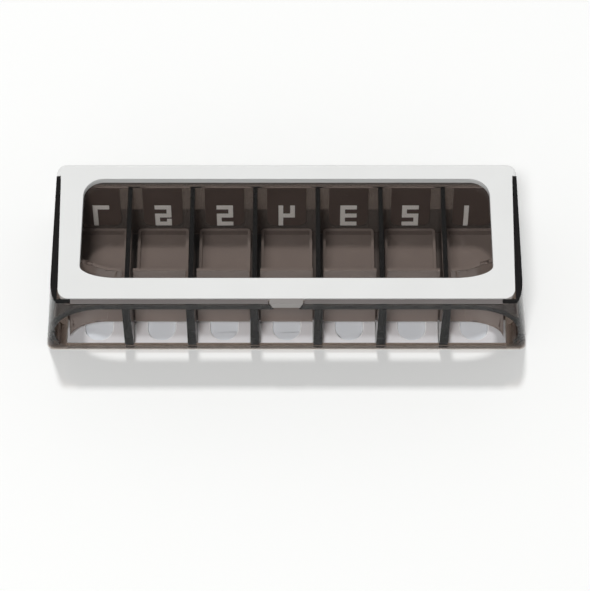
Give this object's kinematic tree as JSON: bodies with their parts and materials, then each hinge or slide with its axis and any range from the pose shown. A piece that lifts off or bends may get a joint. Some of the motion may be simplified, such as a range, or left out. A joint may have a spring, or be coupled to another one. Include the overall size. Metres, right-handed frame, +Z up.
{
  "type": "weekly pill drawer organizer",
  "caption": "Flat smoked box with a row of small sliding pill drawers, a white finger tray and a hinged white window lid.",
  "frame": {"origin": "centre of the underside, on the table", "axes": "+X along the row of drawers, -Y towards the drawer fronts, +Z up"},
  "size_m": [0.1532, 0.0524, 0.0285],
  "materials": {
    "smoke_housing": "clear smoked styrene, polished",
    "smoke_divider": "clear smoked styrene, polished",
    "smoke_drawer": "clear smoked styrene, polished",
    "smoke_pane": "clear, lightly smoked, polished",
    "smoke_catch": "smoked, satin",
    "white_base": "white, fine satin",
    "white_lid": "white, satin gloss",
    "label_dark": "dark brown, satin",
    "numeral_white": "white, satin",
    "edge_strip": "pale smoked, satin",
    "pin_steel": "ground"
  },
  "bodies": {
    "root": {"housing": "smoke_housing", "base_plate": "white_base", "divider_1": "smoke_divider", "divider_2": "smoke_divider", "divider_3": "smoke_divider", "divider_4": "smoke_divider", "divider_5": "smoke_divider", "divider_6": "smoke_divider", "label_1": "label_dark", "label_2": "label_dark", "label_3": "label_dark", "label_4": "label_dark", "label_5": "label_dark", "label_6": "label_dark", "label_7": "label_dark", "numeral_1": "numeral_white", "numeral_2": "numeral_white", "numeral_3": "numeral_white", "numeral_4": "numeral_white", "numeral_5": "numeral_white", "numeral_6": "numeral_white", "numeral_7": "numeral_white", "edge_strip_left": "edge_strip", "edge_strip_right": "edge_strip"},
    "lid": {"lid_frame": "white_lid", "window_pane": "smoke_pane", "lid_catch": "smoke_catch", "hinge_pin_left": "pin_steel", "hinge_pin_right": "pin_steel"},
    "drawer_1": {"drawer_1": "smoke_drawer"},
    "drawer_2": {"drawer_2": "smoke_drawer"},
    "drawer_3": {"drawer_3": "smoke_drawer"},
    "drawer_4": {"drawer_4": "smoke_drawer"},
    "drawer_5": {"drawer_5": "smoke_drawer"},
    "drawer_6": {"drawer_6": "smoke_drawer"},
    "drawer_7": {"drawer_7": "smoke_drawer"}
  },
  "joints": [
    {"name": "lid_hinge", "type": "hinge", "parent": "root", "child": "lid", "pos_m": [0, 0.0238, 0.0231], "axis": [-1, 0, 0], "range_deg": [0, 100]},
    {"name": "drawer_1_slide", "type": "slide", "parent": "root", "child": "drawer_1", "axis": [0, -1, 0], "range_m": [0, 0.026]},
    {"name": "drawer_2_slide", "type": "slide", "parent": "root", "child": "drawer_2", "axis": [0, -1, 0], "range_m": [0, 0.026]},
    {"name": "drawer_3_slide", "type": "slide", "parent": "root", "child": "drawer_3", "axis": [0, -1, 0], "range_m": [0, 0.026]},
    {"name": "drawer_4_slide", "type": "slide", "parent": "root", "child": "drawer_4", "axis": [0, -1, 0], "range_m": [0, 0.026]},
    {"name": "drawer_5_slide", "type": "slide", "parent": "root", "child": "drawer_5", "axis": [0, -1, 0], "range_m": [0, 0.026]},
    {"name": "drawer_6_slide", "type": "slide", "parent": "root", "child": "drawer_6", "axis": [0, -1, 0], "range_m": [0, 0.026]},
    {"name": "drawer_7_slide", "type": "slide", "parent": "root", "child": "drawer_7", "axis": [0, -1, 0], "range_m": [0, 0.026]}
  ]
}
